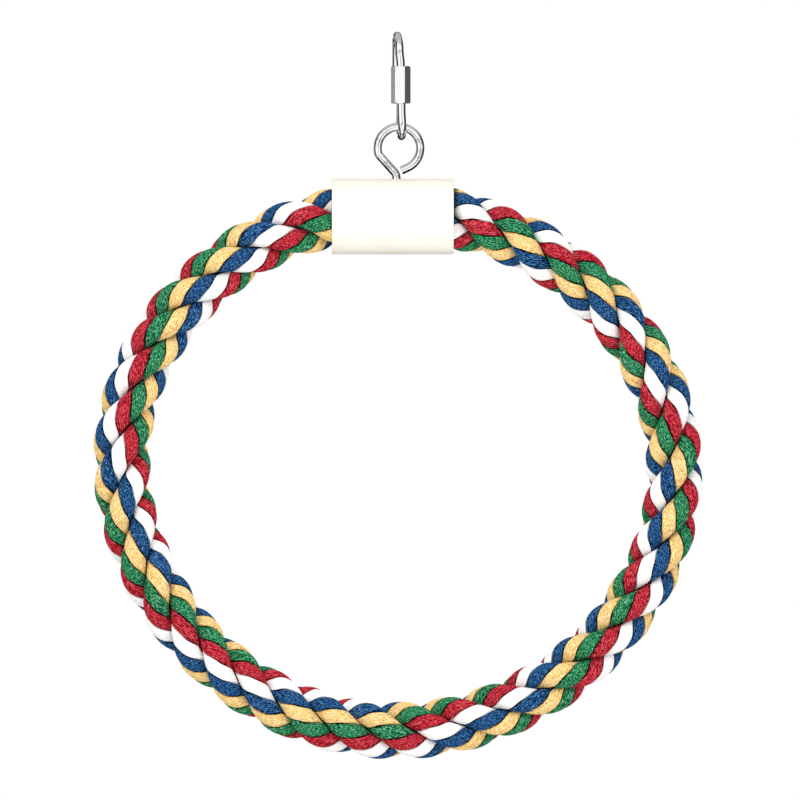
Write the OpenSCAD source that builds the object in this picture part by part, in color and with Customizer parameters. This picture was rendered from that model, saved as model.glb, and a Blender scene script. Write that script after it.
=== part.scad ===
// Rope hoop swing for a cage bird: a three-strand cotton rope laid round a steel wire,
// its ends joined in a plastic sleeve that hangs by a screw eye and a quick link.
// Origin at the inside of the quick link's top bend, where the swing is hung.
// X to the right, Y to the back, Z up. The hoop lies in the XZ plane.

/* [Quick link] */
// Diameter of the link's wire
link_wire_d = 2.9; // [2:0.1:4]
// Clear height inside the link
link_inner_h = 30.5; // [26:0.1:38]
// Distance between the centrelines of the link's two arms
link_arm_gap = 9.1; // [8:0.1:12]
// Opening between the two ends of the front arm
gate_gap = 4; // [3.5:0.1:5]
// How far the lower stub reaches up into the closed nut
stub_hold = 1.6; // [1:0.1:3]
// Lean of the link to the left, in degrees
link_lean = 2.5; // [0:0.5:4]
// Turn of the link about its length, in degrees
link_yaw = 4; // [0:1:8]

/* [Link nut] */
// Width of the nut across its flats
nut_flats = 5.7; // [5:0.1:6.4]
// Length of the nut
nut_len = 12.5; // [9:0.1:14]
// Height of the closed nut's middle under the inside of the top bend
nut_drop = 15; // [14:0.1:17]
// Size of the chamfer at the nut's ends
nut_chamfer = 0.4; // [0.2:0.1:0.6]
// Turn of the nut's flats, in degrees
nut_turn = 4; // [0:1:29]

/* [Screw eye] */
// Diameter of the screw eye's wire
eye_wire_d = 2.8; // [2:0.1:3.6]
// Outer diameter of the eye's ring
eye_outer_d = 17; // [15:0.1:21]
// Distance of the ring's centre to the left of the link's bottom wire
eye_off = 0.8; // [0:0.1:1.2]
// Distance of the shank to the left of the ring's centre
shank_off = 0.9; // [0.5:0.1:1.6]
// Angle on the ring where the wire leaves it for the neck, in degrees
neck_turn = 192; // [188:1:204]
// Slope of the neck away from upright, in degrees
neck_slope = 42; // [38:1:48]
// Inside radius of the bend between the ring and the neck
corner_bend_r = 1.1; // [0.8:0.1:2]
// Inside radius of the bend between the neck and the shank
neck_bend_r = 1.4; // [0.8:0.1:2]
// Angle on the ring where the wire runs straight to its tip, in degrees
tip_turn = -65; // [-74:1:-60]
// Length of the straight tip
tip_len = 2.5; // [0.5:0.1:2.6]
// Diameter over the shank's thread
shank_d = 3; // [2.9:0.1:3.8]
// Drop from the ring's centre to the sleeve's centreline
sleeve_drop = 22.8; // [22:0.1:27]
// Depth of the shank's point under the sleeve's centreline
shank_depth = 6.5; // [5:0.1:8.5]
// Length of the shank's point
point_len = 2.2; // [1.5:0.1:3]

/* [Sleeve and plug] */
// Outer diameter of the sleeve
sleeve_d = 25.2; // [24:0.1:30]
// Bore of the sleeve
sleeve_bore = 21; // [20.9:0.1:23]
// Length of the sleeve
sleeve_len = 40.4; // [38:0.1:52]
// Size of the bevel round the sleeve's ends
sleeve_edge = 0.6; // [0.2:0.1:0.9]
// Distance of the sleeve's middle to the left of the shank
sleeve_off = 0.9; // [0:0.1:1]
// Length of the wooden anchor plug
plug_len = 12; // [11:0.2:13]
// Depth of the plug's holes for the core wire's ends
wire_hole_depth = 2.8; // [2:0.1:3]

/* [Rope hoop] */
// Reach of the rope's centreline to the right of the sleeve's middle
right_reach = 93.6; // [86:0.1:105]
// Reach of the rope's centreline to the left of the sleeve's middle
left_reach = 90.5; // [84:0.1:102]
// Drop from the sleeve's centreline to the rope's centreline at the bottom
hoop_drop = 171.2; // [155:0.1:190]
// Distance of the lowest point to the right of the sleeve's middle
foot_off = 1.5; // [-3:0.1:3]
// Radius of the tight bend beside the sleeve on the right
right_shoulder_r = 36; // [30:1:60]
// Radius of the tight bend beside the sleeve on the left
left_shoulder_r = 50; // [30:1:60]
// Length by which the rope already bends inside each mouth of the sleeve
mouth_bend = 4.2; // [2:0.1:5]

/* [Strands] */
// Length along the rope in which a strand goes round it once
lay_len = 47.1; // [40:0.1:60]
// Distance of a strand's centre from the rope's centreline
strand_off = 5; // [4.8:0.05:5.6]
// Half thickness of a strand, measured outwards from the rope
strand_thick = 4.33; // [4:0.01:4.6]
// Half width of a strand, measured round the rope
strand_wide = 5.1; // [4.6:0.05:5.2]
// Gap between neighbouring strands
strand_gap = 0.35; // [0.3:0.01:0.5]
// Distance along the rope from the sleeve's middle to where strand A first faces forwards
lay_start = 32; // [0:0.1:47]
// Diameter of the core wire
core_d = 2.6; // [2:0.1:3]

/* [Rope ends] */
// Length of the tape wrapped round each rope end
tape_len = 8; // [6:0.1:10]
// Thickness of the tape
tape_thick = 0.5; // [0.3:0.05:0.6]
// Length of the glue ring beside each tape
glue_len = 1.5; // [1:0.1:3]

/* [Hidden] */
$fn = 48;

// Running clearances and the overrun of cuts
slide_play = 0.1;
hinge_play = 0.1;
seat_play = 0.05;
soft_play = 0.25;
face_play = 0.15;
overrun = 1;

// Headings, in degrees, at which the hand-bent hoop changes its radius on each side
right_turns = [16, 63, 117];
left_turns = [23, 62, 103];

// Quick link, from its top bend down
link_r = link_wire_d / 2;
arm_y = link_arm_gap / 2;
arm_top = arm_y - link_r;
arm_bottom = link_inner_h - arm_top;
nut_bore_d = link_wire_d + 2 * slide_play;
nut_top = nut_drop - nut_len / 2;
nut_foot = nut_drop + nut_len / 2;
stub_top = nut_foot - stub_hold;
gate_top = stub_top - gate_gap;
pivot_drop = link_inner_h + link_r;
pivot_x = pivot_drop * sin(link_lean);
pivot_z = -pivot_drop * cos(link_lean);

// Screw eye
eye_r = (eye_outer_d - eye_wire_d) / 2;
corner_r = corner_bend_r + eye_wire_d / 2;
neck_r = neck_bend_r + eye_wire_d / 2;
eye_hang = eye_r - link_r - eye_wire_d / 2 - hinge_play;
eye_x = pivot_x - eye_off;
eye_z = pivot_z - sqrt(eye_hang * eye_hang - eye_off * eye_off);
corner_turn = neck_slope + 180 - neck_turn;

// A bend runs on into the piece that it joins by these angles, and the ring is a hair thinner than the
// neck and the tip that it runs into
neck_bend_in = 3;
ring_in = 1.5;
ring_step = 0.02;

// Ends of the neck's straight and top of the shank, from the ring's centre
neck_start = (eye_r - corner_r) * [cos(neck_turn), sin(neck_turn)]
    - corner_r * [cos(neck_slope), sin(neck_slope)];
neck_run = (-shank_off - neck_start[0] - neck_r * (1 - cos(neck_slope))) / sin(neck_slope);
neck_end = [neck_start[0] + neck_run * sin(neck_slope), neck_start[1] - neck_run * cos(neck_slope)];
shank_top = neck_end[1] - neck_r * sin(neck_slope);
shank_x = eye_x - shank_off;

// Sleeve and what is in it
sleeve_x = shank_x - sleeve_off;
sleeve_z = eye_z - sleeve_drop;
plug_d = sleeve_bore - 2 * seat_play;
shank_hole_d = shank_d + 2 * seat_play;
wire_hole_d = core_d + 2 * seat_play;
rope_r = strand_off + strand_thick;
rope_start = plug_len / 2 + soft_play;
tape_start = rope_start + soft_play;
tape_in_d = 2 * (rope_r + face_play);
tape_out_d = tape_in_d + 2 * tape_thick;
glue_start = tape_start + tape_len + face_play;
glue_out_d = sleeve_bore - 2 * seat_play;

// Centreline of the hoop: a straight in the sleeve, four arcs down each side, and a foot
straight = sleeve_len / 2 - mouth_bend;

function half_radii(reach, foot, shoulder, turn) =
    let (s1 = sin(turn[0]), s2 = sin(turn[1]), s3 = sin(turn[2]))
    let (c1 = cos(turn[0]), c2 = cos(turn[1]), c3 = cos(turn[2]))
    let (upper = (reach - straight - shoulder * s1) / (s2 - s1))
    let (upper_slope = (s2 - 1) / (s2 - s1))
    let (lower = (reach - foot) / s3)
    let (lower_slope = (s3 - 1) / s3)
    let (left_over = hoop_drop - shoulder * (1 - c1) - upper * (c1 - c2) - lower * (1 + c3))
    let (side = left_over / (c2 - c3 + upper_slope * (c1 - c2) + lower_slope * (1 + c3)))
    [shoulder, upper + upper_slope * side, side, lower + lower_slope * side];

right_r = half_radii(right_reach, foot_off, right_shoulder_r, right_turns);
left_r = half_radii(left_reach, -foot_off, left_shoulder_r, left_turns);

// Each stretch is [radius, turn in degrees], clockwise from the sleeve's middle
bends = [
    [right_r[0], right_turns[0]],
    [right_r[1], right_turns[1] - right_turns[0]],
    [right_r[2], right_turns[2] - right_turns[1]],
    [right_r[3], 180 - right_turns[2]],
    [left_r[3], 180 - left_turns[2]],
    [left_r[2], left_turns[2] - left_turns[1]],
    [left_r[1], left_turns[1] - left_turns[0]],
    [left_r[0], left_turns[0]]
];

// Direction outwards from the hoop where the rope runs at this heading, clockwise from the right
function outwards(heading) = [sin(heading), cos(heading)];
function bend_len(i) = bends[i][0] * bends[i][1] * PI / 180;

// Start of each bend: [distance along the rope, heading, place in X and Z]
bend_starts = [
    for (i = 0, run = straight, heading = 0, place = [sleeve_x + straight, sleeve_z];
         i <= len(bends);
         place = i < len(bends)
             ? place + bends[i][0] * (outwards(heading + bends[i][1]) - outwards(heading))
             : place,
         run = i < len(bends) ? run + bend_len(i) : run,
         heading = i < len(bends) ? heading + bends[i][1] : heading,
         i = i + 1)
    [run, heading, place]
];
rope_loop = bend_starts[len(bends)][0] + straight;

function bend_at(run) = len([for (start = bend_starts) if (start[0] <= run) start]) - 1;

// Heading and place of the centreline at a distance along the rope
function heading_at(run) =
    let (i = bend_at(run))
    i < 0 || i >= len(bends) ? 0 : bend_starts[i][1] + (run - bend_starts[i][0]) * 180 / PI / bends[i][0];
function place_at(run) =
    let (i = bend_at(run))
    i < 0 ? [sleeve_x + run, sleeve_z]
    : i >= len(bends) ? bend_starts[i][2] + (run - bend_starts[i][0]) * [1, 0]
    : bend_starts[i][2] + bends[i][0] * (outwards(heading_at(run)) - outwards(bend_starts[i][1]));

// Outline of one strand, seen along the rope: a lobe that ends in a blunt wedge at the core
strand_count = 3;
wedge_turn = 180 / strand_count;
lobe_turns = [-118, -90, -60, -30, 0, 30, 60, 90, 118];
wedge_in = core_d / 2 + soft_play + face_play;
lobe = concat(
    [[wedge_in, wedge_side(wedge_in)], [wedge_in, -wedge_side(wedge_in)]],
    [for (turn = lobe_turns) [strand_off + strand_thick * cos(turn), lobe_side(turn)]]
);

// Half width of a strand's share of the rope at a distance from the centreline
function wedge_side(out) = out * tan(wedge_turn) - strand_gap / 2 / cos(wedge_turn);
function lobe_side(turn) =
    let (limit = wedge_side(strand_off + strand_thick * cos(turn)))
    max(-limit, min(limit, strand_wide * sin(turn)));

rings_per_lay = 15;
strand_span = rope_loop - 2 * rope_start;
ring_count = ceil(strand_span / lay_len * rings_per_lay);

// Outline of the core wire, which is swept through a ring every two diameters
core_sides = 8;
core_outline = [
    for (k = [0 : core_sides - 1])
        core_d / 2 * [cos(360 * k / core_sides), sin(360 * k / core_sides)]
];
core_ring_count = ceil(rope_loop / (2 * core_d));

// Turn of a strand round the rope: 0 faces forwards, 90 outwards
function strand_turn(run, share) = -360 * ((run - lay_start) / lay_len - share);

function ring_point(run, turn, point) =
    let (out = point[0] * sin(turn) + point[1] * cos(turn))
    let (front = point[0] * cos(turn) - point[1] * sin(turn))
    let (spot = place_at(run) + out * outwards(heading_at(run)))
    [spot[0], -front, spot[1]];

// Moves its children to the sleeve's centreline and turns their Z axis along it
module in_sleeve() {
    translate([sleeve_x, 0, sleeve_z])
        rotate([0, 90, 0])
            children();
}

// Places what is drawn in the XY plane in the hoop's plane, with Y turned to Z
module in_plane(place) {
    translate([place[0], 0, place[1]])
        rotate([90, 0, 0])
            children();
}

// A stretch of bent wire in the XY plane, centred on its bend, from the X axis round
module bent_wire(wire_d, radius, turn) {
    rotate_extrude(angle = turn)
        translate([radius, 0])
            circle(d = wire_d);
}

// Quick link placed with its lean and turn: its own Z runs up its length
module link_frame() {
    rotate([0, -link_lean, 0])
        rotate([0, 0, link_yaw])
            children();
}

module link_bend(drop, up) {
    translate([0, 0, -drop])
        rotate([up * 90, 0, 90])
            bent_wire(link_wire_d, arm_y, 180);
}

module link_arm(side, top, bottom) {
    translate([0, side * arm_y, -bottom])
        cylinder(d = link_wire_d, h = bottom - top);
}

module link_body() {
    color("silver")
        link_frame() {
            link_bend(arm_top, 1);
            link_bend(arm_bottom, -1);
            link_arm(1, arm_top, arm_bottom);
            link_arm(-1, arm_top, gate_top);
            link_arm(-1, stub_top, arm_bottom);
        }
}

module link_nut() {
    color("gainsboro")
        link_frame()
            translate([0, -arm_y, -nut_foot])
                rotate([0, 0, nut_turn])
                    difference() {
                        intersection() {
                            cylinder(d = nut_flats / cos(30), h = nut_len, $fn = 6);
                            nut_blank();
                        }
                        translate([0, 0, -overrun])
                            cylinder(d = nut_bore_d, h = nut_len + 2 * overrun);
                    }
}

// Round bar with chamfered ends that takes the nut's corners off
module nut_blank() {
    corner = nut_flats / 2 / cos(30);
    flat = corner - nut_chamfer;
    rotate_extrude()
        polygon([
            [0, 0],
            [flat, 0],
            [corner, nut_chamfer],
            [corner, nut_len - nut_chamfer],
            [flat, nut_len],
            [0, nut_len]
        ]);
}

// All of the eye above the shank, drawn up the neck from its bend into the shank
module eye_wire() {
    rotate([-90, 0, 0])
        cylinder(d = eye_wire_d, h = neck_run);
    translate([corner_r, neck_run, 0])
        mirror([1, 0, 0]) {
            bent_wire(eye_wire_d, corner_r, corner_turn);
            rotate([0, 0, corner_turn])
                translate([corner_r - eye_r, 0, 0])
                    eye_ring();
        }
    translate([-neck_r, 0, 0])
        mirror([0, 1, 0])
            bent_wire(eye_wire_d, neck_r, neck_slope + neck_bend_in);
}

// The ring from the X axis round, and its straight tip
module eye_ring() {
    ring_turn = neck_turn - tip_turn;
    rotate([0, 0, -ring_in])
        bent_wire(eye_wire_d - ring_step, eye_r, ring_turn + 2 * ring_in);
    rotate([0, 0, ring_turn])
        translate([eye_r, 0, 0])
            rotate([-90, 0, 0])
                cylinder(d = eye_wire_d, h = tip_len);
}

module eye_screw() {
    point_top = -sleeve_drop - shank_depth + point_len;
    color("silver")
        in_plane([eye_x, eye_z]) {
            translate([neck_end[0], neck_end[1], 0])
                rotate([0, 0, neck_slope])
                    eye_wire();
            translate([-shank_off, point_top, 0])
                rotate([-90, 0, 0])
                    cylinder(d = shank_d, h = shank_top - point_top);
            translate([-shank_off, point_top, 0])
                rotate([90, 0, 0])
                    cylinder(d1 = shank_d, d2 = 0, h = point_len);
        }
}

module sleeve() {
    color("ivory")
        difference() {
            in_sleeve()
                translate([0, 0, -sleeve_len / 2])
                    sleeve_wall();
            shank_hole(0);
        }
}

module sleeve_wall() {
    wall = (sleeve_d - sleeve_bore) / 2;
    rotate_extrude()
        translate([sleeve_bore / 2, 0])
            difference() {
                square([wall, sleeve_len]);
                edge_cut(wall, 0, 1);
                edge_cut(wall, sleeve_len, -1);
            }
}

// Triangle that breaks an outer edge of the sleeve
module edge_cut(wall, height, up) {
    polygon([
        [wall - sleeve_edge, height],
        [wall + overrun, height - up * overrun],
        [wall + overrun, height + up * sleeve_edge],
        [wall, height + up * sleeve_edge]
    ]);
}

// Hole for the shank, from above down to a depth under the sleeve's centreline
module shank_hole(depth) {
    translate([shank_x, 0, sleeve_z - depth])
        cylinder(d = shank_hole_d, h = sleeve_d);
}

module anchor_plug() {
    color("burlywood")
        difference() {
            in_sleeve()
                cylinder(d = plug_d, h = plug_len, center = true);
            shank_hole(shank_depth + seat_play);
            for (side = [-1, 1])
                in_sleeve()
                    translate([0, 0, side * (plug_len - wire_hole_depth + overrun) / 2])
                        cylinder(d = wire_hole_d, h = wire_hole_depth + overrun, center = true);
        }
}

// Turns rings of points round the hoop into a solid. The first half of a ring's walls is cut along the
// other diagonal, which keeps a twisted strand clear of the wire and of its neighbours.
module swept(rings) {
    sides = len(rings[0]);
    points = [for (ring = rings) each ring];
    walls = [
        for (i = [0 : len(rings) - 2], k = [0 : sides - 1])
            let (a = i * sides + k, b = i * sides + (k + 1) % sides)
            each k < sides / 2
                ? [[a, b, a + sides], [b, b + sides, a + sides]]
                : [[a, b, b + sides], [a, b + sides, a + sides]]
    ];
    near_end = [for (k = [1 : sides - 2]) [0, k + 1, k]];
    far = len(points) - sides;
    far_end = [for (k = [1 : sides - 2]) [far, far + k, far + k + 1]];
    polyhedron(points = points, faces = concat(walls, near_end, far_end));
}

module core_wire() {
    start = plug_len / 2 - wire_hole_depth + seat_play;
    span = rope_loop - 2 * start;
    color("dimgray")
        swept([
            for (i = [0 : core_ring_count])
                let (run = start + span * i / core_ring_count)
                [for (point = core_outline) ring_point(run, 0, point)]
        ]);
}

// One strand, swept round the hoop while it turns round the rope
module strand(share) {
    swept([
        for (i = [0 : ring_count])
            let (run = rope_start + strand_span * i / ring_count)
            [for (point = lobe) ring_point(run, strand_turn(run, share), point)]
    ]);
}

module strand_a() {
    color("firebrick")
        strand(0);
}

module strand_b() {
    color("seagreen")
        strand(1 / strand_count);
}

module strand_c() {
    color("royalblue")
        strand(2 / strand_count);
}

// A ring round the rope inside the sleeve; side is 1 on the right and -1 on the left
module rope_ring(side, start, length, outer_d) {
    in_sleeve()
        translate([0, 0, side * (start + length / 2)])
            difference() {
                cylinder(d = outer_d, h = length, center = true);
                cylinder(d = tape_in_d, h = length + 2 * overrun, center = true);
            }
}

module tape_wrap_left() {
    color("beige")
        rope_ring(-1, tape_start, tape_len, tape_out_d);
}

module tape_wrap_right() {
    color("beige")
        rope_ring(1, tape_start, tape_len, tape_out_d);
}

module glue_ring_left() {
    color("khaki")
        rope_ring(-1, glue_start, glue_len, glue_out_d);
}

module glue_ring_right() {
    color("khaki")
        rope_ring(1, glue_start, glue_len, glue_out_d);
}

link_body();
link_nut();
eye_screw();
sleeve();
anchor_plug();
core_wire();
strand_a();
strand_b();
strand_c();
tape_wrap_left();
tape_wrap_right();
glue_ring_left();
glue_ring_right();
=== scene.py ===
# A bird's rope swing, hung up: fifteen twisted yarn bundles make the three strands of a rope hoop, whose
# ends meet in a plastic sleeve under a screw eye and a quick link. Lengths are in metres.
from math import ceil, cos, pi, radians, sin

import bmesh
import bpy
from mathutils import Matrix, Vector


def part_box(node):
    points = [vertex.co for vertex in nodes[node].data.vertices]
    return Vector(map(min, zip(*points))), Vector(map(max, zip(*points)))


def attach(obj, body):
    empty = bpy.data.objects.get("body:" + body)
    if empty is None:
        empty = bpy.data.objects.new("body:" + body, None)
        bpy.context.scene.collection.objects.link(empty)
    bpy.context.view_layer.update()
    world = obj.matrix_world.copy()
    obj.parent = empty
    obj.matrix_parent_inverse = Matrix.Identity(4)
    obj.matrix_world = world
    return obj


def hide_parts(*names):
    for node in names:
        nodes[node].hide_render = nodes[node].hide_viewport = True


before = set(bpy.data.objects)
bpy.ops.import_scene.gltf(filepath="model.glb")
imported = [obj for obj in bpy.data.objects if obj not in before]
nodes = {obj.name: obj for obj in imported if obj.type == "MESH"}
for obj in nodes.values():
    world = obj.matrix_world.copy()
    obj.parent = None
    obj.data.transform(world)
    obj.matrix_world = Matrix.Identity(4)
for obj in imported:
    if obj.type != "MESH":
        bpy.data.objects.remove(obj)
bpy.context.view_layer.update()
MM = 0.001

# The rope's route, as the CAD source draws it: reach to each side, drop, and the headings in degrees at
# which each side changes its radius
RIGHT_REACH = 93.6 * MM
LEFT_REACH = 90.5 * MM
HOOP_DROP = 171.2 * MM
FOOT_OFF = 1.5 * MM
RIGHT_SHOULDER_R = 36 * MM
LEFT_SHOULDER_R = 50 * MM
MOUTH_BEND = 4.2 * MM
RIGHT_TURNS = (16, 63, 117)
LEFT_TURNS = (23, 62, 103)

# The quick link's wire, the depths of its stubs under the inside of the top bend, and its hand-bent sway as
# [depth, sideways place, turn in degrees]
LINK_WIRE_D = 2.9 * MM
LINK_INNER_H = 30.5 * MM
LINK_ARM_GAP = 9.1 * MM
GATE_TOP = 15.65 * MM
STUB_TOP = 19.65 * MM
LINK_SWAY = ((-3 * MM, -0.07 * MM, 4), (3 * MM, 0.26 * MM, 5.5), (8.6 * MM, 0.45 * MM, 8.6),
             (15 * MM, 0.95 * MM, 3), (22 * MM, 1.28 * MM, 0.8), (31.9 * MM, 1.39 * MM, 4))

# The rope's make-up
LAY_LEN = 47.14 * MM
LAY_START = 31.6 * MM
STRANDS = 3
STRAND_OFF = 5 * MM
STRAND_THICK = 4.33 * MM
STRAND_WIDE = 5.1 * MM
STRAND_GAP = 0.35 * MM
FLANK_ROUNDING = 0.9 * MM
CORE_ROOM = 1.7 * MM
CORE_ROUNDING = 0.5 * MM
ROPE_START = 6.25 * MM

# Each strand's five bundles: the count that faces forwards where the strand first does, and how many pass
# there in one lay. Counts 0 to 4 are the colours, in the order of YARNS.
BUNDLES = 5
FIRST_BUNDLE = (1.98, 4.13, 3.0)
BUNDLES_PER_LAY = (7.82, 7.74, 8.03)

# Hand-laid unevenness, each as [waves round the hoop, size, phase in degrees]
LAY_WAVES = ((1, 1.15 * MM, -109), (2, 0.83 * MM, -136), (4, 0.48 * MM, 179))
BUNDLE_WAVES = ((1, 0.32, -101), (3, 0.15, 26))

# How far the lay has slipped on at the rope's last end, by how many bundles the strands there have turned
# back, and where both start and are complete
LAST_SLIP = 0.7 * MM
LAST_TURN = 0.2
SLIP_FROM = 42 * MM
SLIP_BY = 20 * MM

# Where the rope comes free of the sleeve's hold, and how far its swell beside the mouths reaches, as
# distances along the rope from the sleeve's middle
FREE_FROM = 14 * MM
FREE_BY = 20 * MM
SWELL_UNTIL = 21 * MM
SWELL_GONE = 34 * MM

# How far the rope has sunk inwards from its drawn route, outside the sleeve: its mean and its waves
ROPE_INSET = 0.22 * MM
INSET_WAVES = ((1, 0.15 * MM, 75), (2, 0.2 * MM, 115), (3, 0.3 * MM, 92), (4, 0.12 * MM, -145))

# One yarn bundle: threads side by side across its outer face, and the grooves between bundles
THREADS = 7
FACE_STEPS = 4 * THREADS
STATION_STEP = 0.85 * MM
BUNDLE_DOME = 0.06
DOME_POWER = 2.5
SEAM_DEPTH = 0.12
SEAM_POWER = 16
SEAM_GAP = 0.03
THREAD_DEPTH = 0.08 * MM
TIP_SHARE = 0.12
UNEVEN_LEN = 11 * MM


class Term:
    """A socket of a node tree that stands in a formula: adding or multiplying terms adds Math nodes."""

    def __init__(self, tree, socket):
        self.tree = tree
        self.socket = socket

    def math(self, operation, *others):
        return add(self.tree, "ShaderNodeMath", (self, *others), operation=operation)

    def __add__(self, other):
        return self.math("ADD", other)

    def __sub__(self, other):
        return self.math("SUBTRACT", other)

    def __rsub__(self, other):
        return self * -1 + other

    def __mul__(self, other):
        return self.math("MULTIPLY", other)

    def __truediv__(self, other):
        return self.math("DIVIDE", other)

    __radd__ = __add__
    __rmul__ = __mul__

    def power(self, exponent):
        return self.math("POWER", exponent)

    def size(self):
        return self.math("ABSOLUTE")

    def sine(self):
        return self.math("SINE")

    def cosine(self):
        return self.math("COSINE")

    def at_least(self, low):
        return self.math("MAXIMUM", low)

    def at_most(self, high):
        return self.math("MINIMUM", high)

    def ramp(self, start, end, low=0, high=1):
        """low below start, high above end, and a smooth rise between them."""
        values = {"Value": self, "From Min": start, "From Max": end, "To Min": low, "To Max": high}
        return add(self.tree, "ShaderNodeMapRange", values, interpolation_type="SMOOTHSTEP")


def put(tree, socket, value):
    """Links a term to a socket, or sets the socket's own value."""
    if isinstance(value, Term):
        tree.links.new(value.socket, socket)
    elif isinstance(value, tuple) and len(value) == 3 and socket.type == "RGBA":
        socket.default_value = (*value, 1)
    else:
        socket.default_value = value


def add(tree, kind, inputs=(), output=0, **settings):
    """Adds a node with its settings and inputs, by name or by place, and returns one output as a term."""
    node = tree.nodes.new(kind)
    node.location = (180 * (len(tree.nodes) // 8), -160 * (len(tree.nodes) % 8))
    for name, value in settings.items():
        setattr(node, name, value)
    for key, value in inputs.items() if isinstance(inputs, dict) else enumerate(inputs):
        put(tree, node.inputs[key], value)
    return Term(tree, node.outputs[output])


def vector(tree, operation, *values):
    return add(tree, "ShaderNodeVectorMath", values, operation=operation)


def scaled(tree, direction, size):
    inputs = {"Vector": direction, "Scale": size}
    return add(tree, "ShaderNodeVectorMath", inputs, operation="SCALE")


def group_tree(name, kind, inputs, outputs):
    """A node group with these inputs, {name: (type, default)}, and outputs, {name: type}. Returns the tree,
    its inputs as terms, and a function that joins the outputs."""
    tree = bpy.data.node_groups.new(name, kind)
    for socket_name, (socket_type, default) in inputs.items():
        socket = tree.interface.new_socket(socket_name, in_out="INPUT", socket_type=socket_type)
        if default is not None:
            socket.default_value = default
    for socket_name, socket_type in outputs.items():
        tree.interface.new_socket(socket_name, in_out="OUTPUT", socket_type=socket_type)
    entry = tree.nodes.new("NodeGroupInput")
    terms = {socket_name: Term(tree, entry.outputs[socket_name]) for socket_name in inputs}

    def finish(**results):
        leave = tree.nodes.new("NodeGroupOutput")
        for socket_name, term in results.items():
            put(tree, leave.inputs[socket_name], term)

    return tree, terms, finish


# The centreline of the rope, from the middle of the sleeve, clockwise as seen from the front

sleeve_low, sleeve_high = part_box("sleeve")
sleeve_mid = (sleeve_low + sleeve_high) / 2
SLEEVE_LEN = (sleeve_high - sleeve_low).x
STRAIGHT = SLEEVE_LEN / 2 - MOUTH_BEND


def half_radii(reach, foot, shoulder, turns):
    """The four radii down one side of the hoop, which end at its reach and its lowest point."""
    s1, s2, s3 = (sin(radians(turn)) for turn in turns)
    c1, c2, c3 = (cos(radians(turn)) for turn in turns)
    upper = (reach - STRAIGHT - shoulder * s1) / (s2 - s1)
    upper_slope = (s2 - 1) / (s2 - s1)
    lower = (reach - foot) / s3
    lower_slope = (s3 - 1) / s3
    left_over = HOOP_DROP - shoulder * (1 - c1) - upper * (c1 - c2) - lower * (1 + c3)
    side = left_over / (c2 - c3 + upper_slope * (c1 - c2) + lower_slope * (1 + c3))
    return shoulder, upper + upper_slope * side, side, lower + lower_slope * side


def side_bends(reach, foot, shoulder, turns):
    """The bends down one side of the hoop as [radius, turn in radians]."""
    ends = (0, *turns, 180)
    steps = [radians(end - start) for start, end in zip(ends, ends[1:])]
    return list(zip(half_radii(reach, foot, shoulder, turns), steps))


def outwards(heading):
    return Vector((sin(heading), 0, cos(heading)))


right_bends = side_bends(RIGHT_REACH, FOOT_OFF, RIGHT_SHOULDER_R, RIGHT_TURNS)
left_bends = side_bends(LEFT_REACH, -FOOT_OFF, LEFT_SHOULDER_R, LEFT_TURNS)
bends = right_bends + left_bends[::-1]
ROPE_LOOP = 2 * STRAIGHT + sum(radius * turn for radius, turn in bends)


def hoop_place(run):
    """The point of the centreline at a distance along it."""
    place = sleeve_mid.copy()
    if run <= STRAIGHT:
        return place + Vector((run, 0, 0))
    place.x += STRAIGHT
    run -= STRAIGHT
    heading = 0
    for radius, turn in bends:
        part = min(run / radius, turn)
        place += radius * (outwards(heading + part) - outwards(heading))
        heading += part
        run -= radius * part
        if run <= 0:
            return place
    return place + Vector((run, 0, 0))


def line_through(name, places):
    """A curve object through these places, for a tree to follow."""
    curve = bpy.data.curves.new(name, "CURVE")
    curve.dimensions = "3D"
    spline = curve.splines.new("POLY")
    spline.points.add(len(places) - 1)
    for point, place in zip(spline.points, places):
        point.co = (*place, 1)
    line = bpy.data.objects.new(name, curve)
    bpy.context.scene.collection.objects.link(line)
    return line


def hoop_line(step=MM):
    count = ceil(ROPE_LOOP / step)
    return line_through("hoop_line", [hoop_place(ROPE_LOOP * k / count) for k in range(count + 1)])


# The quick link's wire, which was bent by hand: its arms sway sideways and turn about its length


def link_sway(depth):
    """Sideways place, and turn in degrees, at a depth under the inside of the top bend."""
    before = LINK_SWAY[0]
    for after in LINK_SWAY[1:]:
        if depth < after[0]:
            break
        before = after
    share = min(max((depth - before[0]) / (after[0] - before[0] or 1), 0), 1)
    share = (1 - cos(pi * share)) / 2
    return [low + (high - low) * share for low, high in zip(before[1:], after[1:])]


def link_place(across, depth):
    aside, turn = link_sway(depth)
    return Vector((aside - across * sin(radians(turn)), across * cos(radians(turn)), -depth))


def link_line(steps=24):
    """Down from the lower stub's tip, round the bottom bend, up the rear arm and over to the upper stub."""
    arm = LINK_ARM_GAP / 2
    top = arm - LINK_WIRE_D / 2
    bottom = LINK_INNER_H - top
    bend = [pi * k / steps for k in range(steps + 1)]
    places = [link_place(-arm, STUB_TOP + (bottom - STUB_TOP) * k / steps) for k in range(steps)]
    places += [link_place(-arm * cos(turn), bottom + arm * sin(turn)) for turn in bend]
    places += [link_place(arm, bottom + (top - bottom) * k / steps) for k in range(1, steps)]
    places += [link_place(arm * cos(turn), top - arm * sin(turn)) for turn in bend]
    places += [link_place(-arm, top + (GATE_TOP - top) * k / steps) for k in range(1, steps + 1)]
    return line_through("link_line", places)


# The yarn bundle, as geometry nodes


def waves(run, sizes):
    """The sum of the waves round the hoop at a distance along it."""
    total = None
    for count, size, phase in sizes:
        wave = (run * (2 * pi * count / ROPE_LOOP) + radians(phase)).sine() * size
        total = wave if total is None else total + wave
    return total


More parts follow.
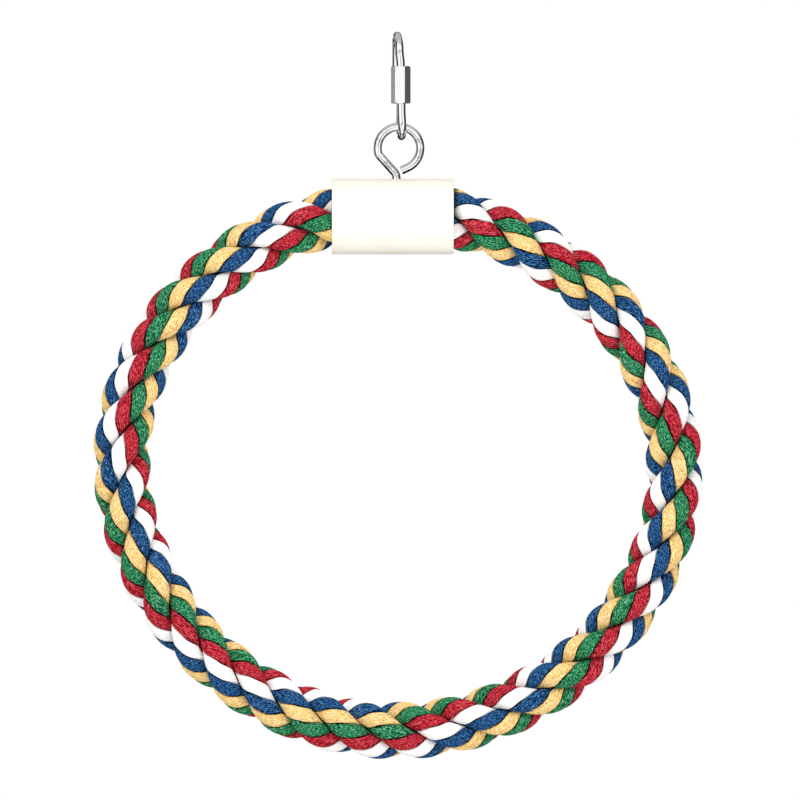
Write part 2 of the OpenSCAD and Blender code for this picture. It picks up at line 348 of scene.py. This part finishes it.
def strand_outline(tree, turn, sizes):
    """Distance from a strand's centre to its surface. A turn of 0 points away from the rope's centre."""
    front, side = turn.cosine(), turn.sine()
    stretched = (front / sizes["Strand Thickness"]).power(2) + (side / sizes["Strand Width"]).power(2)
    oval = stretched.power(-0.5)
    half_wedge = pi / STRANDS
    to_wedge = sizes["Strand Offset"] * sin(half_wedge) - sizes["Strand Gap"] / 2
    flank = to_wedge / (side.size() * cos(half_wedge) - front * sin(half_wedge)).at_least(0.05)
    inner = (sizes["Strand Offset"] - sizes["Core Room"]) / (front * -1).at_least(0.05)
    lobe = oval.math("SMOOTH_MIN", flank, FLANK_ROUNDING)
    return lobe.math("SMOOTH_MIN", inner, CORE_ROUNDING)


def yarn_bundle_tree():
    """A bundle of threads swept round the hoop: one fifth of a strand that turns about itself while the
    strand winds round the rope."""
    length = "NodeSocketFloat"
    sizes = {
        "Geometry": ("NodeSocketGeometry", None),
        "Hoop Line": ("NodeSocketObject", None),
        "Material": ("NodeSocketMaterial", None),
        "Start": (length, ROPE_START),
        "End": (length, ROPE_LOOP - ROPE_START),
        "Stations": ("NodeSocketInt", ceil((ROPE_LOOP - 2 * ROPE_START) / STATION_STEP)),
        "Face Steps": ("NodeSocketInt", FACE_STEPS),
        "Lay Length": (length, LAY_LEN),
        "Strand Start": (length, LAY_START),
        "Inset": (length, ROPE_INSET),
        "Fullness": (length, 1.035),
        "Mouth Swell": (length, 0.08),
        "Strand Offset": (length, STRAND_OFF),
        "Strand Thickness": (length, STRAND_THICK),
        "Strand Width": (length, STRAND_WIDE),
        "Strand Gap": (length, STRAND_GAP),
        "Core Room": (length, CORE_ROOM),
        "Bundle": (length, 0.0),
        "Bundles per Lay": (length, 8.0),
        "Dome": (length, BUNDLE_DOME),
        "Seam Depth": (length, SEAM_DEPTH),
        "Seam Gap": (length, SEAM_GAP),
        "Threads": (length, float(THREADS)),
        "Thread Depth": (length, THREAD_DEPTH),
        "Unevenness": (length, 0.02),
        "Seed": (length, 0.0),
    }
    made = {"Geometry": "NodeSocketGeometry"}
    tree, size, finish = group_tree("yarn_bundle", "GeometryNodeTree", sizes, made)

    # A closed tube, whose height becomes the run along the rope and whose corners become the outline
    around = size["Face Steps"] + 4
    tube_inputs = {"Vertices": around, "Side Segments": size["Stations"], "Radius": 1, "Depth": 1}
    tube = add(tree, "GeometryNodeMeshCylinder", tube_inputs, "Mesh", fill_type="NGON")
    place = add(tree, "GeometryNodeInputPosition")
    split = add(tree, "ShaderNodeSeparateXYZ", [place]).socket.node
    x, y, z = (Term(tree, socket) for socket in split.outputs)
    run = size["Start"] + (z + 0.5) * (size["End"] - size["Start"])
    angle = (y.math("ARCTAN2", x) + 2 * pi).math("FLOORED_MODULO", 2 * pi)
    corner = (angle * around / (2 * pi)).math("ROUND").math("FLOORED_MODULO", around)

    # Across the face from one seam to the other, then in to the bundle's tip and back
    past = (corner - size["Face Steps"]).at_least(0)
    across = (corner / size["Face Steps"]).at_most(1) - 0.5 - (past - 1).at_least(0) * 0.5
    inwards = 1 - (past - 2).size() * 0.5

    to_last = ROPE_LOOP - run
    slipped = to_last.ramp(SLIP_FROM, SLIP_BY)
    even_run = run - waves(run, LAY_WAVES) - slipped * LAST_SLIP
    lays = (even_run - size["Strand Start"]) / size["Lay Length"]
    strand_turn = lays * (-2 * pi)
    even_count = size["Bundle"] + lays * size["Bundles per Lay"]
    passed = even_count + waves(run, BUNDLE_WAVES) - slipped * LAST_TURN
    turn = (passed - across * (1 - size["Seam Gap"])) * (2 * pi / BUNDLES)
    outline = strand_outline(tree, turn - strand_turn, size)

    # The domed face, its seams and its threads
    noise_inputs = {"W": run / UNEVEN_LEN + size["Seed"] * 17, "Scale": 1, "Detail": 1}
    noise = add(tree, "ShaderNodeTexNoise", noise_inputs, noise_dimensions="1D")
    edge = across.size() * 2
    fall = edge.power(DOME_POWER) * size["Dome"] + edge.power(SEAM_POWER) * size["Seam Depth"]
    swell = 1 - fall + (noise - 0.5) * size["Unevenness"]
    ridge = ((across + 0.5) * size["Threads"] * pi).sine().size() - 1
    face = outline * swell + ridge * size["Thread Depth"]
    reach = face * (1 - inwards * (1 - TIP_SHARE))

    line = add(tree, "GeometryNodeObjectInfo", {"Object": size["Hoop Line"]}, "Geometry")
    sample_inputs = {"Curves": line, "Length": run}
    sampled = add(tree, "GeometryNodeSampleCurve", sample_inputs, "Position", mode="LENGTH")
    tangent = Term(tree, sampled.socket.node.outputs["Tangent"])
    forwards = (0, -1, 0)
    outer = vector(tree, "CROSS_PRODUCT", forwards, tangent)

    def spoke(turned, length):
        """A vector of a length that turns from forwards to outwards."""
        ahead = scaled(tree, forwards, turned.cosine() * length)
        aside = scaled(tree, outer, turned.sine() * length)
        return vector(tree, "ADD", ahead, aside)

    to_end = run.math("MINIMUM", to_last)
    free = to_end.ramp(FREE_FROM, FREE_BY)
    inset = (size["Inset"] + waves(run, INSET_WAVES)) * free
    middle = vector(tree, "ADD", sampled, scaled(tree, outer, inset * -1))
    swollen = size["Fullness"] + size["Mouth Swell"] * free * to_end.ramp(SWELL_GONE, SWELL_UNTIL)
    centre = vector(tree, "ADD", middle, spoke(strand_turn, size["Strand Offset"] * swollen))
    point = vector(tree, "ADD", centre, spoke(turn, reach * swollen))

    # The place on the yarn is kept for the material before the tube is bent to the bundle's shape
    yarn = add(tree, "ShaderNodeCombineXYZ", (across, run / MM, size["Seed"]))
    stored_inputs = {"Geometry": tube, "Name": "yarn", "Value": yarn}
    stored = add(tree, "GeometryNodeStoreNamedAttribute", stored_inputs, data_type="FLOAT_VECTOR",
                 domain="POINT")
    moved = add(tree, "GeometryNodeSetPosition", {"Geometry": stored, "Position": point})
    smooth = add(tree, "GeometryNodeSetShadeSmooth", {"Geometry": moved})
    whole = add(tree, "GeometryNodeRealizeInstances", {"Geometry": smooth})
    finish(Geometry=add(tree, "GeometryNodeSetMaterial", {"Geometry": whole, "Material": size["Material"]}))
    return tree


def bent_wire_tree():
    """A round wire along a curve, with a screw thread from each end and rounded tips."""
    length = "NodeSocketFloat"
    sizes = {
        "Geometry": ("NodeSocketGeometry", None),
        "Line": ("NodeSocketObject", None),
        "Material": ("NodeSocketMaterial", None),
        "Diameter": (length, LINK_WIRE_D),
        "Station": (length, 0.12 * MM),
        "Sides": ("NodeSocketInt", 28),
        "Pitch": (length, 0.5 * MM),
        "Thread Depth": (length, 0.14 * MM),
        "First Thread": (length, 1.6 * MM),
        "Last Thread": (length, 6.6 * MM),
        "Tip": (length, 0.35 * MM),
    }
    made = {"Geometry": "NodeSocketGeometry"}
    tree, size, finish = group_tree("bent_wire", "GeometryNodeTree", sizes, made)
    line = add(tree, "GeometryNodeObjectInfo", {"Object": size["Line"]}, "Geometry")
    fine = add(tree, "GeometryNodeResampleCurve", {"Curve": line, "Length": size["Station"]}, mode="LENGTH")
    run = add(tree, "GeometryNodeSplineParameter", output="Length")
    whole = add(tree, "GeometryNodeSplineLength")
    left = whole - run
    kept = add(tree, "GeometryNodeStoreNamedAttribute", {"Geometry": fine, "Name": "run", "Value": run})
    kept = add(tree, "GeometryNodeStoreNamedAttribute", {"Geometry": kept, "Name": "left", "Value": left})
    circle = {"Resolution": size["Sides"], "Radius": size["Diameter"] / 2}
    ring = add(tree, "GeometryNodeCurvePrimitiveCircle", circle)
    turn = add(tree, "GeometryNodeSplineParameter")
    ring = add(tree, "GeometryNodeStoreNamedAttribute", {"Geometry": ring, "Name": "turn", "Value": turn})
    tube = add(tree, "GeometryNodeCurveToMesh", {"Curve": kept, "Profile Curve": ring, "Fill Caps": True})

    from_start, from_end, turned = (
        add(tree, "GeometryNodeInputNamedAttribute", {"Name": name}) for name in ("run", "left", "turn"))
    groove = ((from_start / size["Pitch"] + turned) * (2 * pi)).cosine() * 0.5 + 0.5
    first = from_start.ramp(size["First Thread"], size["First Thread"] - size["Pitch"])
    last = from_end.ramp(size["Last Thread"], size["Last Thread"] - size["Pitch"])
    near = from_start.math("MINIMUM", from_end)
    tip = (1 - near / size["Tip"]).at_least(0).power(2) * size["Tip"]
    inwards = (first + last) * groove * size["Thread Depth"] + tip
    normal = add(tree, "GeometryNodeInputNormal")
    offset = scaled(tree, normal, inwards * -1)
    moved = add(tree, "GeometryNodeSetPosition", {"Geometry": tube, "Offset": offset})
    smooth = add(tree, "GeometryNodeSetShadeSmooth", {"Geometry": moved})
    plain = add(tree, "GeometryNodeRealizeInstances", {"Geometry": smooth})
    finish(Geometry=add(tree, "GeometryNodeSetMaterial", {"Geometry": plain, "Material": size["Material"]}))
    return tree


def made_by(tree, name, values):
    """The plain mesh object that a geometry tree makes from these input values."""
    carrier = bpy.data.objects.new(name + "_carrier", bpy.data.meshes.new(name + "_carrier"))
    bpy.context.scene.collection.objects.link(carrier)
    modifier = carrier.modifiers.new(tree.name, "NODES")
    modifier.node_group = tree
    sockets = {item.name: item.identifier for item in tree.interface.items_tree if item.in_out == "INPUT"}
    for input_name, value in values.items():
        modifier[sockets[input_name]] = value
    depsgraph = bpy.context.evaluated_depsgraph_get()
    mesh = bpy.data.meshes.new_from_object(
        carrier.evaluated_get(depsgraph), preserve_all_data_layers=True, depsgraph=depsgraph)
    mesh.name = name
    bpy.data.objects.remove(carrier)
    piece = bpy.data.objects.new(name, mesh)
    bpy.context.scene.collection.objects.link(piece)
    return piece


# Materials

# Painted shade on the rope at the sleeve's mouths, where the sleeve's edge shades it: its colour, its share,
# and how far past a mouth it ends and is complete, in mm
MOUTH_SHADE = (0.012, 0.01, 0.009)
MOUTH_SHADE_SHARE = 0.8
MOUTH_SHADE_END = 0.7
MOUTH_SHADE_FULL = -0.4


def new_material(name):
    """A material with its Principled shader alone, as (material, tree, shader)."""
    material = bpy.data.materials.new(name)
    material.use_nodes = True
    shader = material.node_tree.nodes["Principled BSDF"]
    return material, material.node_tree, shader


def mix(tree, share, first, second):
    node = tree.nodes.new("ShaderNodeMix")
    node.data_type = "RGBA"
    put(tree, node.inputs[0], share)
    put(tree, node.inputs[6], first)
    put(tree, node.inputs[7], second)
    return Term(tree, node.outputs[2])


def bump(tree, shader, height, strength, distance):
    inputs = {"Height": height, "Strength": strength, "Distance": distance}
    put(tree, shader.inputs["Normal"], add(tree, "ShaderNodeBump", inputs))


def srgb(code):
    """A colour written as six hexadecimal digits, in the linear values that a shader takes."""
    parts = [int(code[k:k + 2], 16) / 255 for k in (0, 2, 4)]
    return tuple(c / 12.92 if c <= 0.04045 else ((c + 0.055) / 1.055) ** 2.4 for c in parts)


def cotton_group():
    """Cotton threads side by side: painted shade in the grooves between threads and bundles, fine dark
    fibres, light flecks painted as highlight glints on the fibres, and painted shade at the sleeve's mouths."""
    inputs = {
        "Colour": ("NodeSocketColor", None),
        "Groove Shade Colour": ("NodeSocketColor", None),
        "Glint Colour": ("NodeSocketColor", None),
        "Glint Share": ("NodeSocketFloat", 0.3),
        "Groove Shade Share": ("NodeSocketFloat", 0.5),
    }
    outputs = {"Colour": "NodeSocketColor", "Height": "NodeSocketFloat"}
    tree, value, finish = group_tree("cotton_yarn", "ShaderNodeTree", inputs, outputs)
    yarn = add(tree, "ShaderNodeAttribute", output="Vector", attribute_name="yarn")
    split = add(tree, "ShaderNodeSeparateXYZ", [yarn]).socket.node
    across, run, seed = (Term(tree, socket) for socket in split.outputs)

    thread = (across + 0.5) * THREADS
    ridge = (thread * pi).sine().size()
    ply = ((run * 1.1 + thread * 0.7) * (2 * pi)).sine() * 0.5 + 0.5
    dash = add(tree, "ShaderNodeCombineXYZ", (thread * 3.1, run * 1.2 - across * 6.5, seed * 3.7))
    fibre = add(tree, "ShaderNodeTexNoise", {"Vector": dash, "Scale": 1, "Detail": 2, "Roughness": 0.6})
    patch = add(tree, "ShaderNodeCombineXYZ", (across * 1.4, run * 0.12, seed * 5.1))
    tone = add(tree, "ShaderNodeTexNoise", {"Vector": patch, "Scale": 1.6, "Detail": 2})

    # Painted shade in the grooves between threads and in the seams between bundles, darkest at each seam
    seam_shade = (across.size() * 2).power(13) * 1.2
    groove = (1 - ridge).power(2.5) * (tone * 1.6 - 0.1).at_least(0) + seam_shade
    shade = (0.5 - fibre).at_least(0) * 14
    dark = (groove + shade.at_most(1) * (0.6 + tone * 0.6) + (1 - ply) * 0.03) * value["Groove Shade Share"]
    shaded = mix(tree, dark.at_least(0).at_most(1), value["Colour"], value["Groove Shade Colour"])
    # Light flecks on the fibres: painted highlight glints of the cotton's sheen
    bright = ((fibre - 0.55) * 20).at_least(0).at_most(1)
    glint_fleck = bright * value["Glint Share"] * (0.4 + tone * 1.2) * (1 - seam_shade)
    lit = mix(tree, glint_fleck.at_least(0).at_most(1), shaded, value["Glint Colour"])
    # Painted shade on the yarn just past each sleeve mouth, darkest at the mouth
    past_mouth = run.math("MINIMUM", ROPE_LOOP / MM - run) - SLEEVE_LEN / 2 / MM
    colour = mix(tree, past_mouth.ramp(MOUTH_SHADE_END, MOUTH_SHADE_FULL) * MOUTH_SHADE_SHARE, lit, MOUTH_SHADE)
    finish(Colour=colour, Height=ridge * 0.5 + ply * 0.03 + fibre * 0.6)
    return tree


def cotton(group, name, colour, groove, glint_fleck, glint_share, groove_shade_share):
    material, tree, shader = new_material(name)
    cloth = tree.nodes.new("ShaderNodeGroup")
    cloth.node_tree = group
    values = {"Colour": colour, "Groove Shade Colour": groove, "Glint Colour": glint_fleck,
              "Glint Share": glint_share, "Groove Shade Share": groove_shade_share}
    for input_name, value in values.items():
        put(tree, cloth.inputs[input_name], value)
    put(tree, shader.inputs["Base Color"], Term(tree, cloth.outputs["Colour"]))
    shader.inputs["Roughness"].default_value = 0.9
    shader.inputs["Specular IOR Level"].default_value = 0.04
    bump(tree, shader, Term(tree, cloth.outputs["Height"]), 0.8, 0.2 * MM)
    return material


def scuffs_group():
    """Fine grain and dull scuffed spots on plated metal."""
    inputs = {"Size": ("NodeSocketFloat", 400.0), "Share": ("NodeSocketFloat", 0.3)}
    outputs = {"Scuff": "NodeSocketFloat", "Height": "NodeSocketFloat"}
    tree, value, finish = group_tree("plating_scuffs", "ShaderNodeTree", inputs, outputs)
    spot = add(tree, "ShaderNodeTexCoord", output="Object")
    patch = add(tree, "ShaderNodeTexNoise", {"Vector": spot, "Scale": value["Size"], "Detail": 3})
    grain = add(tree, "ShaderNodeTexNoise", {"Vector": spot, "Scale": value["Size"] * 9, "Detail": 3})
    edge = 0.72 - value["Share"] * 0.4
    scuff = ((patch - edge) * 9).at_least(0).at_most(1) * (0.35 + grain)
    finish(Scuff=scuff.at_most(1), Height=grain * (0.15 + scuff))
    return tree


def plated_metal(group, name, colour, dull, roughness=0.08, size=400, share=0.3):
    material, tree, shader = new_material(name)
    scuffs = tree.nodes.new("ShaderNodeGroup")
    scuffs.node_tree = group
    scuffs.inputs["Size"].default_value = size
    scuffs.inputs["Share"].default_value = share
    scuff = Term(tree, scuffs.outputs["Scuff"])
    put(tree, shader.inputs["Base Color"], mix(tree, scuff * 0.7, colour, dull))
    put(tree, shader.inputs["Roughness"], scuff * 0.1 + roughness)
    shader.inputs["Metallic"].default_value = 1
    bump(tree, shader, Term(tree, scuffs.outputs["Height"]), 0.25, 0.05 * MM)
    return material


def sleeve_plastic():
    """Moulded off-white plastic with a faint cloudiness."""
    material, tree, shader = new_material("ivory_plastic")
    spot = add(tree, "ShaderNodeTexCoord", output="Object")
    cloud = add(tree, "ShaderNodeTexNoise", {"Vector": spot, "Scale": 60, "Detail": 3})
    put(tree, shader.inputs["Base Color"], mix(tree, cloud.ramp(0.35, 0.7), srgb("FAF6EA"), srgb("F7F2E3")))
    put(tree, shader.inputs["Roughness"], cloud * 0.08 + 0.3)
    shader.inputs["Specular IOR Level"].default_value = 0.35
    shader.inputs["Subsurface Weight"].default_value = 0.12
    shader.inputs["Subsurface Radius"].default_value = (1.2 * MM, 0.9 * MM, 0.6 * MM)
    skin = add(tree, "ShaderNodeTexNoise", {"Vector": spot, "Scale": 700, "Detail": 2})
    bump(tree, shader, skin, 0.06, 0.1 * MM)
    return material


def softwood():
    """Turned softwood with its grain along the plug."""
    material, tree, shader = new_material("plug_softwood")
    spot = add(tree, "ShaderNodeTexCoord", output="Object")
    stretch = add(tree, "ShaderNodeMapping", {"Vector": spot, "Scale": (60, 420, 420)})
    grain = add(tree, "ShaderNodeTexNoise", {"Vector": stretch, "Scale": 1, "Detail": 6, "Distortion": 0.6})
    ring_inputs = {"Vector": stretch, "Scale": 0.9, "Distortion": 3, "Detail": 3}
    rings = add(tree, "ShaderNodeTexWave", ring_inputs, "Color", wave_type="RINGS", rings_direction="X")
    tone = rings * 0.6 + grain * 0.4
    put(tree, shader.inputs["Base Color"], mix(tree, tone, srgb("A9783F"), srgb("E3C38F")))
    put(tree, shader.inputs["Roughness"], grain * 0.2 + 0.55)
    bump(tree, shader, tone, 0.25, 0.15 * MM)
    return material


def cloth_tape(thread_pitch=0.5 * MM, wrap_r=10.5 * MM):
    """Plain-woven cotton tape, wrapped round the rope at this radius."""
    material, tree, shader = new_material("cotton_tape")
    spot = add(tree, "ShaderNodeTexCoord", output="Object")
    split = add(tree, "ShaderNodeSeparateXYZ", [spot]).socket.node
    x, y, z = (Term(tree, socket) for socket in split.outputs)
    pace = 2 * pi / thread_pitch
    around = (z - sleeve_mid.z).math("ARCTAN2", y) * wrap_r
    warp, weft = (x * pace).sine(), (around * pace).sine()
    weave = warp * weft * 0.5 + 0.5
    fibre = add(tree, "ShaderNodeTexNoise", {"Vector": spot, "Scale": 2500, "Detail": 3})
    tone = weave * 0.7 + fibre * 0.3
    put(tree, shader.inputs["Base Color"], mix(tree, tone, srgb("C9BE9E"), srgb("F2ECDA")))
    shader.inputs["Roughness"].default_value = 0.9
    bump(tree, shader, weave + fibre * 0.4, 0.6, 0.15 * MM)
    return material


def set_glue():
    """Hot-melt glue: amber, smooth and a little cloudy."""
    material, tree, shader = new_material("set_glue")
    spot = add(tree, "ShaderNodeTexCoord", output="Object")
    cloud = add(tree, "ShaderNodeTexNoise", {"Vector": spot, "Scale": 350, "Detail": 4})
    put(tree, shader.inputs["Base Color"], mix(tree, cloud, srgb("D9BE7C"), srgb("F1E2B4")))
    put(tree, shader.inputs["Roughness"], cloud * 0.2 + 0.18)
    shader.inputs["Subsurface Weight"].default_value = 0.3
    shader.inputs["Subsurface Radius"].default_value = (1.5 * MM, 1 * MM, 0.5 * MM)
    bump(tree, shader, cloud, 0.4, 0.3 * MM)
    return material


def dress(piece, material):
    piece.data.materials.clear()
    piece.data.materials.append(material)


# The rope

cotton_yarn = cotton_group()

# Each yarn's colour, the colours of its painted groove shade and its painted highlight flecks, and the
# shares of its flecks and its groove shade
YARNS = {
    "blue": cotton(cotton_yarn, "blue_cotton", srgb("174C82"), srgb("020C20"), srgb("6FA2D4"), 0.6, 0.8),
    "white": cotton(cotton_yarn, "white_cotton", srgb("FCFCFB"), srgb("D3CECB"), srgb("FFFFFF"), 0.3, 0.2),
    "red": cotton(cotton_yarn, "red_cotton", srgb("C22232"), srgb("3A0409"), srgb("F4848F"), 0.48, 0.72),
    "green": cotton(cotton_yarn, "green_cotton", srgb("1B8452"), srgb("011A0C"), srgb("94D8B0"), 0.6, 0.8),
    "tan": cotton(cotton_yarn, "tan_cotton", srgb("FFD888"), srgb("9A5A20"), srgb("FFF4D4"), 0.65, 0.5),
}

hoop = hoop_line()
bundle_tree = yarn_bundle_tree()
for strand, letter in enumerate("abc"):
    for count, (colour, material) in enumerate(YARNS.items()):
        bundle = made_by(bundle_tree, f"yarn_{letter}_{colour}", {
            "Hoop Line": hoop,
            "Material": material,
            "Strand Start": LAY_START + strand * LAY_LEN / STRANDS,
            "Bundle": FIRST_BUNDLE[strand] - count,
            "Bundles per Lay": BUNDLES_PER_LAY[strand],
            "Seed": float(strand * BUNDLES + count),
        })
        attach(bundle, "swing")
        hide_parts(f"strand_{letter}")
bpy.data.objects.remove(hoop)

# The hardware

# A hair's breadth for telling apart the places in a mesh, and the bevel round the CAD sleeve's ends
HAIR = 0.01 * MM
CAD_BEVEL = 0.6 * MM + HAIR
ZINC = (0.9, 0.9, 0.9)
DULL_ZINC = (0.42, 0.4, 0.38)
DRAWN_STEEL = (0.45, 0.45, 0.47)
DULL_STEEL = (0.2, 0.19, 0.18)


def cad_copy(node):
    """A copy of a CAD node's mesh, without its stored normals, and the same as a shape to change."""
    mesh = nodes[node].data.copy()
    mesh.attributes.remove(mesh.attributes["custom_normal"])
    shape = bmesh.new()
    shape.from_mesh(mesh)
    bmesh.ops.remove_doubles(shape, verts=shape.verts, dist=HAIR / 10)
    return mesh, shape


def piece_of(name, mesh, shape, material):
    """An object of the changed shape."""
    shape.to_mesh(mesh)
    shape.free()
    mesh.name = name
    piece = bpy.data.objects.new(name, mesh)
    bpy.context.scene.collection.objects.link(piece)
    dress(piece, material)
    return piece


def rounded_nut(name, material, lean=2.5, turn=-14, edge=0.3 * MM, bore_room=0.3 * MM):
    """The CAD nut with rounded edges, set upright on the swayed arm and turned to show its broad face. Its
    bore is wider, so that it passes the bent arm."""
    mesh, shape = cad_copy("link_nut")
    low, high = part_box("link_nut")
    middle = (low + high) / 2
    arm = link_place(-LINK_ARM_GAP / 2, -middle.z)
    upright = Matrix.Rotation(radians(turn), 4, "Z") @ Matrix.Rotation(radians(lean), 4, "Y")
    flat = radians(1)
    bmesh.ops.dissolve_limit(shape, angle_limit=flat, verts=shape.verts, edges=shape.edges)
    moved = Matrix.Translation(arm) @ upright @ Matrix.Translation(-middle)
    bmesh.ops.transform(shape, matrix=moved, verts=shape.verts)
    bore_limit = 0.75 * LINK_WIRE_D
    for vert in shape.verts:
        out = Vector((vert.co.x - arm.x, vert.co.y - arm.y, 0))
        if out.length < bore_limit:
            vert.co += out.normalized() * bore_room
    piece = piece_of(name, mesh, shape, material)
    bevel = piece.modifiers.new("edges", "BEVEL")
    bevel.width = edge
    bevel.segments = 3
    bevel.limit_method = "ANGLE"
    bevel.angle_limit = radians(25)
    return piece


def crisp_sleeve(name, material, bevel=0.2 * MM, left=0.3 * MM, right=-0.2 * MM):
    """The CAD sleeve with narrower bevels, and each end a little further out or in."""
    mesh, shape = cad_copy("sleeve")
    outer = (sleeve_high - sleeve_low).z / 2
    for vert in shape.verts:
        side = 1 if vert.co.x > sleeve_mid.x else -1
        from_end = SLEEVE_LEN / 2 - abs(vert.co.x - sleeve_mid.x)
        spoke = Vector((0, vert.co.y, vert.co.z - sleeve_mid.z))
        if from_end < CAD_BEVEL and spoke.length > outer - HAIR:
            vert.co.x += side * (from_end - bevel)
        elif from_end < HAIR and spoke.length > outer - CAD_BEVEL:
            vert.co += spoke.normalized() * (outer - bevel - spoke.length)
        if from_end < CAD_BEVEL:
            vert.co.x += side * (right if side > 0 else left)
    piece = piece_of(name, mesh, shape, material)
    mesh.shade_smooth()
    mesh.set_sharp_from_angle(angle=radians(30))
    return piece


scuffs = scuffs_group()
link_route = link_line()
link_wire = made_by(bent_wire_tree(), "link_wire", {
    "Line": link_route,
    "Material": plated_metal(scuffs, "link_zinc", ZINC, DULL_ZINC),
})
bpy.data.objects.remove(link_route)
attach(link_wire, "quick_link")
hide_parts("link_body")

nut_metal = plated_metal(scuffs, "nut_zinc", ZINC, DULL_ZINC, roughness=0.2, size=900, share=0.2)
nut = rounded_nut("hex_nut", nut_metal)
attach(nut, "nut")
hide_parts("link_nut")
dress(nodes["eye_screw"], plated_metal(scuffs, "eye_nickel", ZINC, DULL_ZINC, share=0.5))
dress(nodes["core_wire"], plated_metal(scuffs, "core_wire_steel", DRAWN_STEEL, DULL_STEEL, 0.3))
tube = crisp_sleeve("sleeve_tube", sleeve_plastic())
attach(tube, "swing")
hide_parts("sleeve")
dress(nodes["anchor_plug"], softwood())
tape, glue = cloth_tape(), set_glue()
for side in ("left", "right"):
    dress(nodes["tape_wrap_" + side], tape)
    dress(nodes["glue_ring_" + side], glue)

# Bright metal doesn't mirror the sleeve or what is in it, so the eye's lower outline stays dark
tube.visible_glossy = False
for inner in ("anchor_plug", "core_wire", "tape_wrap_left", "tape_wrap_right", "glue_ring_left",
              "glue_ring_right"):
    nodes[inner].visible_glossy = False

# The studio: a pale floor, a white room and three soft lamps

# What metal mirrors, by the angle in degrees from the camera's side: where the dark wall starts, where it
# gives way to the doorway, and where its windows begin
WALL_START = (58, 68)
WALL_END = (160, 168)
WINDOW_START = (100, 112)

# The middles of the two small dark spots in front, and the cosines of their rims
SPOTS = ((0.2, -1, -0.11), (-0.24, -1, -0.3))
SPOT_RIM = (0.976, 0.988)


def pale_floor(side=60, drop=1.2):
    mesh = bpy.data.meshes.new("floor")
    half = side / 2
    corners = [(-half, -half, -drop), (half, -half, -drop), (half, half, -drop), (-half, half, -drop)]
    mesh.from_pydata(corners, [], [(0, 1, 2, 3)])
    floor = bpy.data.objects.new("floor", mesh)
    bpy.context.scene.collection.objects.link(floor)
    material, _, shader = new_material("pale_floor")
    shader.inputs["Base Color"].default_value = (0.93, 0.93, 0.93, 1)
    shader.inputs["Roughness"].default_value = 0.9
    dress(floor, material)
    floor.visible_glossy = False


def lamp(name, place, power, target=(0, 0, -0.12), width=0.9):
    """A square soft lamp that points at the hoop's middle and isn't mirrored."""
    light = bpy.data.lights.new(name, "AREA")
    light.shape = "SQUARE"
    light.size = width
    light.energy = power
    holder = bpy.data.objects.new(name, light)
    holder.location = place
    holder.rotation_mode = "QUATERNION"
    holder.rotation_quaternion = (Vector(target) - Vector(place)).to_track_quat("-Z", "Y")
    holder.visible_glossy = False
    bpy.context.scene.collection.objects.link(holder)


def white_room():
    """Plain white to the camera and an even soft light on the object. What bright metal mirrors is a white
    room with a dark rear wall round a bright doorway, a window on each side, a grey ceiling, a bright
    patch straight below, and two small dark spots in front."""
    world = bpy.data.worlds.new("white_room")
    world.use_nodes = True
    bpy.context.scene.world = world
    tree = world.node_tree
    tree.nodes.clear()
    direction = add(tree, "ShaderNodeTexCoord", output="Generated")
    split = add(tree, "ShaderNodeSeparateXYZ", [direction]).socket.node
    x, y, z = (Term(tree, socket) for socket in split.outputs)
    from_front = (y * -1).math("ARCCOSINE") * (180 / pi)
    wall = from_front.ramp(*WALL_START) * (1 - from_front.ramp(*WALL_END))
    windows = x.ramp(0.75, 0.85, high=0.1) + x.ramp(-0.66, -0.76, high=0.4)
    above, below = z.ramp(0.35, 0.8) * 0.5, z.ramp(-0.76, -0.9, high=0.9)
    wall_level = windows * from_front.ramp(*WINDOW_START) + above + below + 0.03
    ceiling = z.ramp(0.3, 0.75)
    spots = 0
    for place in SPOTS:
        nearness = vector(tree, "DOT_PRODUCT", direction, tuple(Vector(place).normalized())).socket.node
        spots = Term(tree, nearness.outputs["Value"]).ramp(*SPOT_RIM) + spots
    open_level = 1.15 - ceiling * 0.5 - spots
    level = open_level + wall * (wall_level - open_level)
    mirrored = add(tree, "ShaderNodeBackground", {"Color": (1, 1, 1), "Strength": level})
    even = add(tree, "ShaderNodeBackground", {"Color": (1, 0.985, 0.965), "Strength": 0.7})
    view = add(tree, "ShaderNodeBackground", {"Color": (1, 1, 1), "Strength": 1})
    in_gloss = add(tree, "ShaderNodeLightPath", output="Is Glossy Ray")
    to_camera = Term(tree, in_gloss.socket.node.outputs["Is Camera Ray"])
    lit = add(tree, "ShaderNodeMixShader", (in_gloss, even, mirrored))
    shown = add(tree, "ShaderNodeMixShader", (to_camera, lit, view))
    tree.links.new(shown.socket, tree.nodes.new("ShaderNodeOutputWorld").inputs[0])


def camera(lens=800, sensor=36, frame_width=0.26667, centre=(0.93 * MM, 0, -119.93 * MM)):
    """Level with the hoop's middle, on the line that the photograph was taken along. The frame's width is
    measured at the hoop."""
    data = bpy.data.cameras.new("camera")
    data.lens = lens
    data.sensor_width = sensor
    holder = bpy.data.objects.new("camera", data)
    holder.location = Vector(centre) - Vector((0, frame_width * lens / sensor, 0))
    holder.rotation_euler = (pi / 2, 0, 0)
    bpy.context.scene.collection.objects.link(holder)
    bpy.context.scene.camera = holder


pale_floor()
white_room()
lamp("key_lamp", (-0.4, -1.1, 0.4), 9)
lamp("fill_lamp", (0.6, -1.1, -0.1), 5)
lamp("rear_lamp", (0.2, 1.2, 0.4), 8)
camera()
bpy.context.scene.view_settings.view_transform = "Standard"
